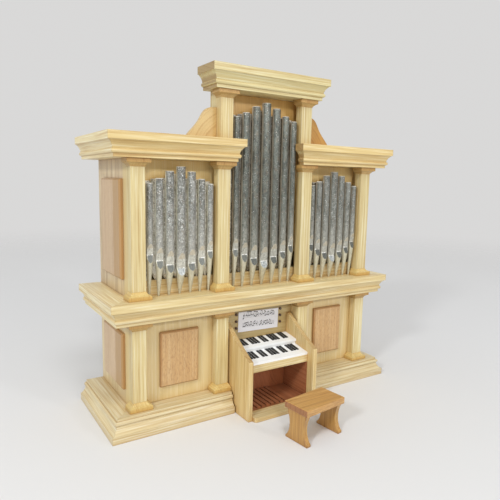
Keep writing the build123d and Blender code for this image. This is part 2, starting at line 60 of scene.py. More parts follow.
class Shader:
    """A material under construction: numbers are set on sockets, and outputs are linked to them."""

    SAMPLES = 6

    def __init__(self, name):
        self.material = bpy.data.materials.new(name)
        self.material.use_nodes = True
        self.tree = self.material.node_tree
        self.tree.nodes.clear()

    def put(self, socket, value):
        if isinstance(value, bpy.types.NodeSocket):
            self.tree.links.new(value, socket)
        elif value is not None:
            socket.default_value = value

    def node(self, kind, inputs=(), **settings):
        made = self.tree.nodes.new(kind)
        for key, value in settings.items():
            setattr(made, key, value)
        for key, value in dict(inputs).items():
            self.put(made.inputs[key], value)
        return made

    def math(self, operation, a, b=None, c=None):
        made = self.node("ShaderNodeMath", operation=operation)
        for socket, value in zip(made.inputs, (a, b, c)):
            self.put(socket, value)
        return made.outputs[0]

    def product(self, first, *others):
        for other in others:
            first = self.math("MULTIPLY", first, other)
        return first

    def total(self, first, *others):
        for other in others:
            first = self.math("ADD", first, other)
        return first

    def vector(self, operation, a, b=None):
        made = self.node("ShaderNodeVectorMath", operation=operation)
        self.put(made.inputs[0], a)
        self.put(made.inputs[3 if operation == "SCALE" else 1], b)
        return made.outputs["Value" if operation in ("LENGTH", "DOT_PRODUCT") else "Vector"]

    def join(self, x, y, z):
        return self.node("ShaderNodeCombineXYZ", {"X": x, "Y": y, "Z": z}).outputs[0]

    def split(self, vector):
        return self.node("ShaderNodeSeparateXYZ", {"Vector": vector}).outputs

    def place(self):
        """The place on the part in millimetres."""
        return self.vector("SCALE", self.node("ShaderNodeTexCoord").outputs["Object"], 1 / MM)

    def flat_normal(self):
        return self.node("ShaderNodeNewGeometry").outputs["True Normal"]

    def rounded_normal(self, radius_mm):
        """The normal as it would be if every edge were rounded by the radius."""
        made = self.node("ShaderNodeBevel", {"Radius": radius_mm * MM}, samples=self.SAMPLES)
        return made.outputs[0]

    def open_air(self, reach_mm):
        """How little stands within reach of the surface: 1 in the open, about 0.5 in a corner."""
        made = self.node("ShaderNodeAmbientOcclusion", {"Distance": reach_mm * MM},
                         samples=self.SAMPLES)
        return made.outputs["AO"]

    def noise(self, vector, scale, detail=2.0, roughness=0.5):
        return self.node("ShaderNodeTexNoise", {"Vector": vector, "Scale": scale, "Detail": detail,
                                                "Roughness": roughness}).outputs["Fac"]

    def sway(self, vector, scale, detail, span):
        """Noise round zero, over the span."""
        return self.product(self.math("SUBTRACT", self.noise(vector, scale, detail), 0.5), span)

    def remap(self, value, low, high, to_low=0.0, to_high=1.0, smooth=False):
        made = self.node("ShaderNodeMapRange",
                         interpolation_type="SMOOTHSTEP" if smooth else "LINEAR")
        for key, number in (("Value", value), ("From Min", low), ("From Max", high),
                            ("To Min", to_low), ("To Max", to_high)):
            self.put(made.inputs[key], number)
        return made.outputs["Result"]

    def ramp(self, value, stops):
        made = self.node("ShaderNodeValToRGB", {"Fac": value})
        elements = made.color_ramp.elements
        while len(elements) < len(stops):
            elements.new(0.5)
        for element, (place, level) in zip(elements, stops):
            element.position = place
            element.color = (level, level, level, 1)
        return made.outputs["Color"]

    def mix(self, factor, a, b, blend="MIX"):
        made = self.node("ShaderNodeMix", data_type="RGBA", blend_type=blend)
        self.put(made.inputs["Factor"], factor)
        for socket, value in ((made.inputs[6], a), (made.inputs[7], b)):
            self.put(socket, (*value, 1) if isinstance(value, tuple) else value)
        return made.outputs[2]

    def tint(self, colour, tint):
        return self.mix(1.0, colour, tint, "MULTIPLY")

    def bump(self, height, distance_mm, strength=1.0, round_mm=0.0):
        made = self.node("ShaderNodeBump", {"Height": height, "Distance": distance_mm * MM,
                                            "Strength": strength})
        if round_mm:
            self.put(made.inputs["Normal"], self.rounded_normal(round_mm))
        return made.outputs["Normal"]

    def surface(self, **inputs):
        """Closes the material with a principled surface, whose sockets are given by name."""
        made = self.node("ShaderNodeBsdfPrincipled", {
            key.replace("_", " "): (*value, 1) if isinstance(value, tuple) else value
            for key, value in inputs.items()})
        output = self.node("ShaderNodeOutputMaterial")
        self.tree.links.new(made.outputs[0], output.inputs["Surface"])
        return self.material


# A wood's colours: the main one, the late rings, the pale streaks and what the end grain is
# multiplied by
Palette = namedtuple("Palette", "light dark pale end_tint", defaults=[(0.9, 0.7, 0.5)])


def tinted(palette, tint):
    """The palette with its colours, but not the tint of its end grain, multiplied by the tint."""
    *colours, end_tint = palette
    return Palette(*(tuple(channel * factor for channel, factor in zip(colour, tint))
                     for colour in colours), end_tint)


# Wood: lengths are in millimetres, and scales of noise in waves per millimetre

# The parts of a place: two that lie across the grain and the one that lies along it
GRAIN_ORDER = {"X": (1, 2, 0), "Y": (0, 2, 1), "Z": (0, 1, 2)}
GRAIN_DIRECTION = {"X": (1, 0, 0), "Y": (0, 1, 0), "Z": (0, 0, 1)}
# How far apart in the trunk two pieces may have been
BOARD_SHIFT = 37.0
# What a step along the grain counts for in each pattern, next to a step across it
STREAK_STRETCH = 0.02
FIBRE_STRETCH = 0.05
FLECK_STRETCH = 0.16
SLOW_STRETCH = 0.3

# Annual rings: how dark one is from its early wood to its late wood, how weak it may be next to
# the others, how far it sways in small ripples, and how far its distance from the next one does
RING_PROFILE = ((0.0, 0.35), (0.1, 0.0), (0.45, 0.12), (0.75, 0.5), (0.92, 1.0), (1.0, 0.35))
WEAKEST_RING = 0.25
WAVE_SCALE = 0.05
RIPPLE_SCALE = 0.6
RIPPLE_SPAN = 1.3
UNEVEN_SCALE = 0.21
UNEVEN_SPAN = 7.0
# Years with fainter rings
YEAR_SCALE = 0.13
YEAR_RANGE = (0.35, 0.65)
FAINTEST_YEARS = 0.45

# Fibres, dark and pale streaks, broad bands and the slow change of tone
FIBRE_SCALE = 2.6
FIBRE_RANGE = (0.35, 0.75)
FIBRE_DARKNESS = (-0.05, 0.14)
FIBRE_RELIEF = 0.03
FIBRE_ROUGHNESS = (-0.07, 0.1)
RING_RELIEF = 0.4
STREAK_SCALE = 1.35
DARK_STREAK = (0.53, 0.70)
PALE_STREAK = (0.48, 0.36)
PALE_STRENGTH = 0.85
BAND_SCALE = 0.28
TONE_SCALE = 0.03
TONE_SPREAD = (0.94, 1.05)
PIECE_SPREAD = (0.97, 1.03)
FLECK_SCALE = 2.9
FLECK_EDGE = (0.54, 0.68)

# End grain, and how squarely it faces along the grain where it starts
END_FACING = (0.75, 0.95)
END_RINGS = 0.8
PORE_SCALE = 4.0
PORE_SPREAD = (0.84, 1.1)

# The band on the front of a piece, whose end is ragged, and the painted shade on the rim round a
# face
BAND_FADE = 3.0
BAND_STRENGTH = 0.8
RAGGED_SCALE = 0.3
FACE_EDGE = (0.6, 0.95)
RIM_SHADE_STRENGTH = 0.8

# Corners: painted shade, a golden tone spreading from a corner and a thin brown line in creases
# (the line partly dirt too), with how far out each reaches and how open the corner may be
CORNER_SHADE_REACH = 6.0
CORNER_SHADE_RANGE = (0.3, 0.95)
CORNER_SHADE_STRENGTH = 0.42
CORNER_SHADE_TINT = (1.15, 0.98, 0.55)
CREASE_DIRT_AND_SHADE_REACH = 1.2
CREASE_DIRT_AND_SHADE_RANGE = (0.45, 0.85)
CREASE_DIRT_AND_SHADE_STRENGTH = 0.7


def annual_rings(s, from_pith, ring_width):
    """How dark the rings are at a distance from the pith. No two are as wide or as dark."""
    uneven = s.node("ShaderNodeTexNoise", {"W": from_pith, "Scale": UNEVEN_SCALE, "Detail": 1.0},
                    noise_dimensions="1D").outputs["Fac"]
    count = s.math("DIVIDE", s.total(from_pith, s.product(uneven, UNEVEN_SPAN)), ring_width)
    weight = s.node("ShaderNodeTexWhiteNoise", {"W": s.math("FLOOR", count)},
                    noise_dimensions="1D").outputs["Value"]
    ring = s.ramp(s.math("FRACT", count), RING_PROFILE)
    return s.product(ring, s.remap(weight, 0.0, 1.0, WEAKEST_RING, 1.0))


def wood(name, axis, palette, ring_width=2.6, ring_strength=0.5, pith=(46.0, 31.0), bands=0.16,
         waves=6.0, streaks=0.5, flecks=0.0, roughness=0.42, coat=0.15, mirrored=False,
         scattered=True, round_mm=0.35, face=None, painted_rim=None, front_band=None, right_shade_tint=None):
    """Wood with annual rings round a pith that runs along the axis, streaks and end grain.

    Surfaces that look away from the face, the bevels round it, take the painted rim's colour, which
    is painted shade. The front band has an end, in millimetres along Y, and a colour. The right
    tint darkens the piece on the right of a pair as painted shade.
    """
    s = Shader(name)
    light, dark, pale, end_tint = palette
    place = s.place()
    if mirrored:
        place = s.vector("ABSOLUTE", place)
    parts = s.split(place)
    across_a, across_b, along = (parts[index] for index in GRAIN_ORDER[axis])
    chance = s.node("ShaderNodeObjectInfo").outputs["Random"]
    shift = s.product(chance, BOARD_SHIFT if scattered else 0.0)
    moved_a = s.total(across_a, shift)
    fibre_place = s.join(moved_a, across_b, s.product(along, FIBRE_STRETCH))
    streak_place = s.join(moved_a, across_b, s.product(along, STREAK_STRETCH))
    slow_place = s.join(moved_a, across_b, s.product(along, SLOW_STRETCH))

    from_pith = s.vector("LENGTH", s.join(
        s.math("SUBTRACT", across_a, s.total(shift, pith[0])),
        s.math("SUBTRACT", across_b, pith[1]), 0.0))
    wave = s.sway(slow_place, WAVE_SCALE, 2.0, waves)
    ripple = s.sway(fibre_place, RIPPLE_SCALE, 3.0, RIPPLE_SPAN)
    ring = annual_rings(s, s.total(from_pith, wave, ripple), ring_width)
    year = s.remap(s.noise(slow_place, YEAR_SCALE, 1.0), *YEAR_RANGE, FAINTEST_YEARS, 1.0)
    fibres = s.noise(fibre_place, FIBRE_SCALE, 4.0, 0.65)
    streak = s.noise(streak_place, STREAK_SCALE, 2.0, 0.6)
    band = s.noise(fibre_place, BAND_SCALE, 2.0)

    darkness = s.total(
        s.product(ring, year, ring_strength),
        s.remap(fibres, *FIBRE_RANGE, *FIBRE_DARKNESS),
        s.remap(streak, *DARK_STREAK, 0.0, streaks),
        s.remap(band, *NOISE_RANGE, -bands, bands))
    colour = s.mix(s.remap(streak, *PALE_STREAK, 0.0, PALE_STRENGTH), light, pale)
    colour = s.mix(darkness, colour, dark)
    tone = s.remap(s.noise(slow_place, TONE_SCALE, 1.0), *NOISE_RANGE, *TONE_SPREAD)
    tone = s.product(tone, s.remap(chance, 0.0, 1.0, *PIECE_SPREAD))
    colour = s.vector("SCALE", colour, tone)
    if flecks:
        fleck_place = s.join(across_a, across_b, s.product(along, FLECK_STRETCH))
        spots = s.remap(s.noise(fleck_place, FLECK_SCALE, 1.0), *FLECK_EDGE, 0.0, flecks)
        colour = s.mix(spots, colour, dark)

    facing = s.vector("DOT_PRODUCT", s.flat_normal(), GRAIN_DIRECTION[axis])
    end = s.remap(s.math("ABSOLUTE", facing), *END_FACING, smooth=True)
    pores = s.noise(s.join(across_a, across_b, along), PORE_SCALE, 2.0)
    end_colour = s.tint(s.mix(s.product(ring, END_RINGS), light, dark), end_tint)
    end_colour = s.vector("SCALE", end_colour, s.remap(pores, *NOISE_RANGE, *PORE_SPREAD))
    colour = s.mix(end, colour, end_colour)

    if front_band:
        band_end, band_colour = front_band
        ragged = s.total(across_b, s.product(s.noise(slow_place, RAGGED_SCALE, 2.0), BAND_FADE))
        on_band = s.remap(ragged, band_end, band_end + BAND_FADE, BAND_STRENGTH, 0.0, smooth=True)
        colour = s.mix(on_band, colour, band_colour)
    # Painted shade on the bevels round the face
    if face:
        flat = s.math("ABSOLUTE", s.vector("DOT_PRODUCT", s.flat_normal(), face))
        colour = s.mix(s.remap(flat, *FACE_EDGE, RIM_SHADE_STRENGTH, 0.0), colour, painted_rim)
    # Painted shade on the right piece of a pair
    if right_shade_tint:
        on_right = s.math("GREATER_THAN", s.split(s.place())[0], 0.0)
        colour = s.mix(on_right, colour, s.tint(colour, right_shade_tint))
    # Painted shade: a golden tone near corners, and a thin brown line in creases that is partly dirt
    # too
    corner_shade_colour = tuple(channel * factor for channel, factor in zip(dark, CORNER_SHADE_TINT))
    in_shade = s.remap(s.open_air(CORNER_SHADE_REACH), *CORNER_SHADE_RANGE, CORNER_SHADE_STRENGTH, 0.0)
    colour = s.mix(in_shade, colour, corner_shade_colour)
    in_crease_dirt_and_shade = s.remap(s.open_air(CREASE_DIRT_AND_SHADE_REACH), *CREASE_DIRT_AND_SHADE_RANGE, CREASE_DIRT_AND_SHADE_STRENGTH, 0.0)
    colour = s.mix(in_crease_dirt_and_shade, colour, dark)
    relief = s.total(fibres, s.product(ring, RING_RELIEF))
    smoothest, roughest = (roughness + change for change in FIBRE_ROUGHNESS)
    return s.surface(
        Base_Color=colour,
        Roughness=s.remap(fibres, *NOISE_RANGE, smoothest, roughest),
        Coat_Weight=coat,
        Coat_Roughness=0.3,
        Normal=s.bump(relief, FIBRE_RELIEF, 0.5, round_mm),
    )


# Front pipes from the middle of a bay outwards, in millimetres: the limit between one pipe and
# the next, how much further out the next one stands, and how much higher its mouth is
RANKS = {
    "side": ((3.3, 6.65, 2.3), (9.7, 6.2, 2.7), (15.7, 5.65, 3.6)),
    "tower": ((3.7, 7.45, 2.3), (10.9, 6.95, 2.7), (17.6, 6.4, 3.6)),
}
PIPE_RADIUS = {"side": 2.6, "tower": 2.75}
# How much the radius falls with the distance from the middle of the bay
RADIUS_FALL = 0.04
# Where the middle pipe's foot meets its lip
CREASE = 89.7
# Heights over that crease: the whitened part of a pipe, the foot's end and the line over it
WHITENED = (3.0, 34.0)
FOOT_END = (-1.8, 0.6)
LIP_LINE = 0.3
LINE_FADE = (0.25, 0.5)
# The upward part of the normal on a lip, its arch, its cut and a top rim
LIP_TILT = (-0.10, -0.11)
ARCH_TILT = (-0.25, -0.28)
CUT_TILT = (0.2, 0.22)
CUT_TILT_END = (0.5, 0.55)
RIM_TILT = (0.6, 0.65)
RIM_TILT_END = (0.8, 0.85)
# The share of a pipe's radius at which the cut's dark painted reflection ends
DARK_CUT_REFLECTION_EDGE = (0.80, 0.92)
# Glints along the line over the foot
GLINT_SCALE = 0.7
GLINT_RANGE = (0.42, 0.56)
# Painted highlights on edges: the rounding that finds the edges, in millimetres, and how far it
# turns the normal, as the cosine of the angle
EDGE_HIGHLIGHT_ROUNDING = 0.35
EDGE_HIGHLIGHT_RANGE = (0.97, 0.85)

# The metal: blotches drawn out upwards, wider patches, rust and specks of painted glints
UPWARD_STRETCH = (1.0, 1.0, 0.55)
MOTTLE_SCALE = 1.1
PATCH_SCALE = 0.33
PATCH_SHARE = 0.7
LEVEL_RANGE = (0.70, 1.0)
RUST_SHIFT = (31, 7, 3)
RUST_SCALE = 0.9
RUST_RANGE = (0.52, 0.66)
GLINT_SPECK_SCALE = 1.9
GLINT_SPECK_EDGE = 0.05
METAL_ROUGHNESS = (0.26, 0.42)
METAL_RELIEF = 0.06
# Where the side of a pipe turns away from the front, as the backward part of its normal; there it
# is lightened tan with painted light reflected from the wood
FLANK_RANGE = (-0.5, 0.1)
FLANK_SPREAD = 1.7

# How strongly each tone shows
RUST_STRENGTH = 0.55
WHITENED_STRENGTH = 0.55
ARCH_STRENGTH = 0.4
GLINT_STRENGTH = 0.8
EDGE_HIGHLIGHT_STRENGTH = 0.7

# Tones of the pipes, a pair for the darker blotches and the lighter ones. Rust is the metal's own
# colour; the sparkle is painted glints; the arch's tan is a painted reflection of the wood; the
# glint and edge whites are painted highlights; the lips hold a painted reflection of the bright
# floor and the cuts one of the dark room; the feet are partly the metal's own paler tone and
# partly a painted reflection of the floor.
RUST = (0.22, 0.17, 0.12)
SPARKLE = (0.95, 0.96, 0.92)
ARCH_TAN_REFLECTION = (0.60, 0.50, 0.34)
GLINT_WHITE = (1.0, 1.0, 0.97)
EDGE_HIGHLIGHT_WHITE = (1.0, 1.0, 0.94)
WHITENED_TONE = (0.62, 0.59, 0.50)
FOOT_TONES = ((0.45, 0.41, 0.28), (0.62, 0.59, 0.46))
LIP_REFLECTION_TONES = ((0.28, 0.27, 0.22), (0.62, 0.61, 0.53))
CUT_REFLECTION_TONES = ((0.065, 0.075, 0.07), (0.17, 0.17, 0.145))
BRIGHT_CUT_REFLECTION_TONES = ((0.12, 0.14, 0.14), (0.66, 0.68, 0.66))


def with_mouths(s, colour, row, high, blotch, lip_level):
    """The colour with the feet, lips and cuts of a front row of pipes on it: painted reflections of
    the floor on the lips and, partly, the feet, of the wood on the arch and of the dark room in the
    cuts, and a painted highlight along the line over the foot.
    """
    low_corner, high_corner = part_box(row)
    middle = (low_corner.x + high_corner.x) / 2 / MM
    kind = "tower" if row.endswith("centre") else "side"
    x, _, z = s.split(s.place())
    up = s.split(s.flat_normal())[2]

    out = s.math("ABSOLUTE", s.math("SUBTRACT", x, middle))
    axis, crease = 0.0, CREASE
    for limit, outward, rise in RANKS[kind]:
        beyond = s.math("GREATER_THAN", out, limit)
        axis = s.math("MULTIPLY_ADD", beyond, outward, axis)
        crease = s.math("MULTIPLY_ADD", beyond, rise, crease)
    radius = s.math("MULTIPLY_ADD", out, -RADIUS_FALL, PIPE_RADIUS[kind])
    aside = s.math("DIVIDE", s.math("ABSOLUTE", s.math("SUBTRACT", out, axis)), radius)
    height = s.math("SUBTRACT", z, crease)

    # Painted reflections: the floor on the feet and lips, the wood on the arch, the dark room in the
    # cuts; a painted highlight along the line over the foot
    foot = s.remap(height, *FOOT_END, 1.0, 0.0, smooth=True)
    lip = s.product(s.remap(up, *LIP_TILT), s.math("GREATER_THAN", height, 0.0))
    arch = s.remap(up, *ARCH_TILT)
    cut = s.product(s.remap(up, *CUT_TILT), s.remap(up, *CUT_TILT_END, 1.0, 0.0))
    dark_cut_reflection = s.product(cut, s.remap(aside, *DARK_CUT_REFLECTION_EDGE, 1.0, 0.0, smooth=True))
    from_line = s.math("ABSOLUTE", s.math("SUBTRACT", height, LIP_LINE))
    glint = s.product(s.remap(from_line, *LINE_FADE, 1.0, 0.0),
                      s.remap(s.noise(s.place(), GLINT_SCALE, 1.0), *GLINT_RANGE))
    is_middle = s.math("LESS_THAN", out, RANKS[kind][0][0])

    lip_colour = s.vector("SCALE", s.mix(blotch, *LIP_REFLECTION_TONES), lip_level)
    cut_colour = s.mix(is_middle, s.mix(blotch, *CUT_REFLECTION_TONES), s.mix(blotch, *BRIGHT_CUT_REFLECTION_TONES))
    whitened = s.remap(height, *WHITENED, WHITENED_STRENGTH, 0.0, smooth=True)
    colour = s.mix(whitened, colour, s.mix(blotch, high, WHITENED_TONE))
    colour = s.mix(s.math("MAXIMUM", foot, cut), colour, s.mix(blotch, *FOOT_TONES))
    colour = s.mix(lip, colour, lip_colour)
    colour = s.mix(s.product(arch, lip, ARCH_STRENGTH), colour, ARCH_TAN_REFLECTION)
    colour = s.mix(s.product(glint, lip, GLINT_STRENGTH), colour, GLINT_WHITE)
    return s.mix(dark_cut_reflection, colour, cut_colour)


def with_painted_edge_highlights(s, colour):
    """The colour with painted highlights in white on the top rims and along edges, except on
    surfaces that tilt down.
    """
    up = s.split(s.flat_normal())[2]
    turned = s.vector("DOT_PRODUCT", s.rounded_normal(EDGE_HIGHLIGHT_ROUNDING), s.flat_normal())
    edge = s.product(s.remap(turned, *EDGE_HIGHLIGHT_RANGE), s.math("GREATER_THAN", up, LIP_TILT[0]))
    painted_rim = s.product(s.remap(up, *RIM_TILT), s.remap(up, *RIM_TILT_END, 1.0, 0.0))
    return s.mix(s.math("MAXIMUM", painted_rim, s.product(edge, EDGE_HIGHLIGHT_STRENGTH)), colour, EDGE_HIGHLIGHT_WHITE)


def pipe_metal(name, low, high, flank_reflection, row=None, glint_speck_level=0.67, shine=0.2, lip_level=0.95):
    """Mottled satin metal between two tones, with rust, painted glints as bright specks, and flanks
    lightened tan with painted light reflected from the wood.

    The name of a front row adds its mouths. The level given for specks is the level of noise where
    the painted glints begin.
    """
    s = Shader(name)
    place = s.place()
    stretched = s.vector("MULTIPLY", place, UPWARD_STRETCH)
    mottle = s.noise(stretched, MOTTLE_SCALE, 3.0, 0.75)
    patches = s.noise(stretched, PATCH_SCALE, 2.0)
    level = s.remap(s.total(mottle, s.product(patches, PATCH_SHARE)), *LEVEL_RANGE)
    colour = s.mix(level, low, high)
    rusty = s.noise(s.vector("ADD", stretched, RUST_SHIFT), RUST_SCALE, 2.0, 0.7)
    colour = s.mix(s.remap(rusty, *RUST_RANGE, 0.0, RUST_STRENGTH), colour, RUST)
    # Specks of painted glints
    speck_glints = s.remap(s.noise(place, GLINT_SPECK_SCALE, 1.0), glint_speck_level, glint_speck_level + GLINT_SPECK_EDGE)
    colour = s.mix(speck_glints, colour, SPARKLE)
    blotch = s.remap(mottle, *NOISE_RANGE)
    # Flanks lightened tan: painted light reflected from the wood
    flank_reflection_colour = s.mix(blotch, flank_reflection, tuple(channel * FLANK_SPREAD for channel in flank_reflection))
    backward = s.split(s.node("ShaderNodeNewGeometry").outputs["Normal"])[1]
    on_flank = s.remap(backward, *FLANK_RANGE, smooth=True)
    colour = s.mix(on_flank, colour, flank_reflection_colour)
    if row:
        colour = with_mouths(s, colour, row, high, blotch, lip_level)
    return s.surface(
        Base_Color=with_painted_edge_highlights(s, colour),
        Metallic=s.remap(on_flank, 0.0, 1.0, shine, 0.0),
        Roughness=s.remap(mottle, *NOISE_RANGE, *METAL_ROUGHNESS),
        Normal=s.bump(mottle, METAL_RELIEF, 0.5),
    )


# The unevenness of a painted or paper surface
PLAIN_SCALE = 1.2
PLAIN_SHADE = 0.94
PLAIN_ROUGHNESS = 0.05
PLAIN_RELIEF = 0.01


def plain(name, colour, roughness, coat=0.0):
    """A painted or paper surface with a slight unevenness."""
    s = Shader(name)
    grain = s.noise(s.place(), PLAIN_SCALE, 3.0)
    shade = tuple(channel * PLAIN_SHADE for channel in colour)
    return s.surface(
        Base_Color=s.mix(grain, shade, colour),
        Roughness=s.remap(grain, *NOISE_RANGE, roughness - PLAIN_ROUGHNESS,
                          roughness + PLAIN_ROUGHNESS),
        Coat_Weight=coat,
        Normal=s.bump(grain, PLAIN_RELIEF, 0.4),
    )


def band_behind_front(name, width, colour):
    """Where a band of a width, in millimetres, ends behind the front of a node, and its colour."""
    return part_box(name)[0].y / MM + width, colour


# Colours of the woods
PALE = Palette((0.70, 0.565, 0.285), (0.45, 0.265, 0.085), (0.81, 0.72, 0.47), (0.62, 0.52, 0.46))
BLOCK = Palette((0.70, 0.52, 0.235), (0.44, 0.24, 0.07), (0.76, 0.62, 0.34), (1.0, 0.92, 0.8))
BEECH = Palette((0.56, 0.35, 0.155), (0.30, 0.14, 0.055), (0.62, 0.43, 0.22), (1.0, 0.72, 0.5))
SIDE_BEECH = Palette((0.585, 0.415, 0.25), (0.38, 0.215, 0.09), (0.64, 0.48, 0.29),
                     (1.0, 0.72, 0.5))
WARM = Palette((0.53, 0.285, 0.085), (0.24, 0.095, 0.025), (0.62, 0.39, 0.15), (0.66, 0.52, 0.6))
LEG = Palette((0.47, 0.25, 0.06), (0.22, 0.085, 0.02), (0.56, 0.34, 0.11), (0.85, 0.62, 0.6))
STRIPED = Palette((0.66, 0.52, 0.31), (0.30, 0.18, 0.08), (0.74, 0.63, 0.44))
SIDE_WALL = Palette((0.72, 0.585, 0.34), (0.45, 0.30, 0.13), (0.80, 0.69, 0.46))
PANEL = Palette((0.66, 0.52, 0.265), (0.46, 0.30, 0.10), (0.72, 0.60, 0.36))
MUSIC_BOARD = Palette((0.46, 0.35, 0.155), (0.30, 0.18, 0.06), (0.54, 0.43, 0.22))
WING = Palette((0.63, 0.46, 0.205), (0.42, 0.235, 0.07), (0.68, 0.53, 0.28), (1.0, 1.0, 1.0))
NICHE = Palette((0.84, 0.64, 0.29), (0.62, 0.40, 0.14), (0.88, 0.72, 0.40))
TALL_NICHE = Palette((0.73, 0.46, 0.15), (0.48, 0.245, 0.06), (0.80, 0.53, 0.20))
KNEEHOLE_DARK = Palette((0.37, 0.135, 0.058), (0.16, 0.052, 0.02), (0.42, 0.18, 0.09), (0.9, 0.8, 0.7))

# The browner band on the raised panels of the sides, and the golden one on the side walls
PANEL_BAND = dict(width=11.0, colour=(0.42, 0.25, 0.095))
WALL_BAND = dict(width=6.0, colour=(0.66, 0.52, 0.24))

# What like finishes share
EVEN = dict(ring_width=4.0, ring_strength=0.15, streaks=0.2)
TURNED = dict(ring_width=1.7, pith=(400.0, 120.0), waves=5.0)
# The rim colour on the raised side panels' bevels is painted shade
RAISED_SIDE = dict(ring_width=4.5, ring_strength=0.2, bands=0.12, flecks=0.3, streaks=0.25,
                   face=(1, 0, 0), painted_rim=(0.37, 0.20, 0.07))
POLISHED = dict(ring_strength=0.6, roughness=0.34, coat=0.35)

finishes = {
    "pale_x": wood("pale_wood_along_x", "X", PALE),
    # Side pieces: a lighter, cooler copy of the fronts' wood, as painted light on the sides
    "pale_y": wood("pale_wood_along_y", "Y", tinted(PALE, (1.08, 1.13, 1.25))),
    "pale_z": wood("pale_wood_along_z", "Z", tinted(PALE, (0.93, 0.95, 0.94))),
    "plinth_x": wood("plinth_wood_along_x", "X", tinted(PALE, (0.91, 0.94, 1.06))),
    # The plinth's sides: a lighter, cooler copy of its front's wood, as painted light on the sides
    "plinth_y": wood("plinth_wood_along_y", "Y", tinted(PALE, (0.95, 0.99, 1.14))),
    "cornice_x": wood("cornice_wood_along_x", "X", tinted(PALE, (0.98, 0.93, 0.82))),
    "crown_x": wood("crown_wood_along_x", "X", tinted(PALE, (0.91, 0.97, 0.96))),
    "cheek": wood("cheek_wood", "Z", tinted(PALE, (0.94, 0.87, 0.76))),
    "striped": wood("striped_wood", "Z", STRIPED, ring_width=4.2, ring_strength=0.8, bands=0.45,
                    front_band=band_behind_front("upper_side_walls", **WALL_BAND)),
    "side": wood("side_wall_wood", "Z", SIDE_WALL,
                 front_band=band_behind_front("lower_side_walls", **WALL_BAND)),
    "ply": wood("panel_wood", "Z", PANEL, ring_width=4.0, ring_strength=0.12, bands=0.10,
                streaks=0.15),
    "board": wood("music_board_wood", "X", MUSIC_BOARD, **EVEN),
    "block": wood("post_block_wood", "Y", tinted(BLOCK, (0.91, 0.91, 0.76)), ring_strength=0.5,
                  streaks=0.3, **TURNED),
    "capital": wood("post_capital_wood", "Y", tinted(BLOCK, (0.75, 0.67, 0.54)),
                    ring_strength=0.6, streaks=0.35, **TURNED),
    # The rim colour on the beech panels' bevels is painted shade
    "beech": wood("beech_wood", "Z", BEECH, ring_width=4.5, ring_strength=0.15, bands=0.1,
                  flecks=0.55, streaks=0.2, face=(0, 1, 0), painted_rim=(0.34, 0.17, 0.065)),
    "upper_side_beech": wood(
        "upper_side_beech_wood", "Z", SIDE_BEECH, **RAISED_SIDE,
        front_band=band_behind_front("upper_side_raised_panels", **PANEL_BAND)),
    "lower_side_beech": wood(
        "lower_side_beech_wood", "Z", SIDE_BEECH, **RAISED_SIDE,
        front_band=band_behind_front("lower_side_raised_panels", **PANEL_BAND)),
    # The right wing is painted darker and browner: painted shade
    "wing": wood("wing_wood", "Y", WING, ring_strength=1.0, pith=(18.0, 150.0), waves=3.0,
                 mirrored=True, scattered=False, right_shade_tint=(0.82, 0.60, 0.31)),
    "seat": wood("bench_seat_wood", "X", WARM, ring_width=2.4, **POLISHED),
    "leg": wood("bench_leg_wood", "Z", LEG, **POLISHED),
    "niche": wood("niche_wood", "Z", NICHE, **EVEN),
    "tall_niche": wood("tall_niche_wood", "Z", TALL_NICHE, ring_width=4.0, ring_strength=0.2,
                       streaks=0.25),
    # Dark brown wood for the kneehole's back and sides and the pedal board
    "dark": wood("kneehole_dark_wood", "Y", KNEEHOLE_DARK, ring_width=1.8, roughness=0.4, coat=0.2,
                 round_mm=0.0),
    # The pipes are one metal in lighter and darker copies, which is painted light: the left bay and
    # its lips are lighter, and the back rows, standing in shade between the front pipes, lighter
    # still
    "metal_left": pipe_metal(
        "pipe_metal_left", (0.125, 0.127, 0.112), (0.34, 0.345, 0.32), (0.66, 0.64, 0.52),
        "front_pipes_left", glint_speck_level=0.64, shine=0.3, lip_level=1.15),
    "metal_centre": pipe_metal(
        "pipe_metal_centre", (0.085, 0.093, 0.08), (0.18, 0.193, 0.168), (0.42, 0.37, 0.28),
        "front_pipes_centre", glint_speck_level=0.69, shine=0.5),
    "metal_right": pipe_metal(
        "pipe_metal_right", (0.11, 0.117, 0.103), (0.25, 0.26, 0.235), (0.42, 0.38, 0.30),
        "front_pipes_right", shine=0.4),
    "metal_back_left": pipe_metal(
        "pipe_metal_back_left", (0.42, 0.40, 0.32), (0.88, 0.85, 0.74), (0.62, 0.58, 0.45),
        glint_speck_level=0.60, shine=0.1),
    "metal_back": pipe_metal(
        "pipe_metal_back", (0.15, 0.135, 0.103), (0.40, 0.365, 0.29), (0.42, 0.37, 0.28),
        glint_speck_level=0.66, shine=0.1),
    "white": plain("key_white", (0.90, 0.91, 0.90), 0.35, coat=0.2),
    "black": plain("key_black", (0.012, 0.012, 0.012), 0.6),
    "paper": plain("sheet_paper", (0.74, 0.73, 0.75), 0.7),
    "ink": plain("printed_ink", (0.03, 0.03, 0.03), 0.7),
    "knob": plain("knob_dark", (0.07, 0.03, 0.02), 0.35, coat=0.3),
}

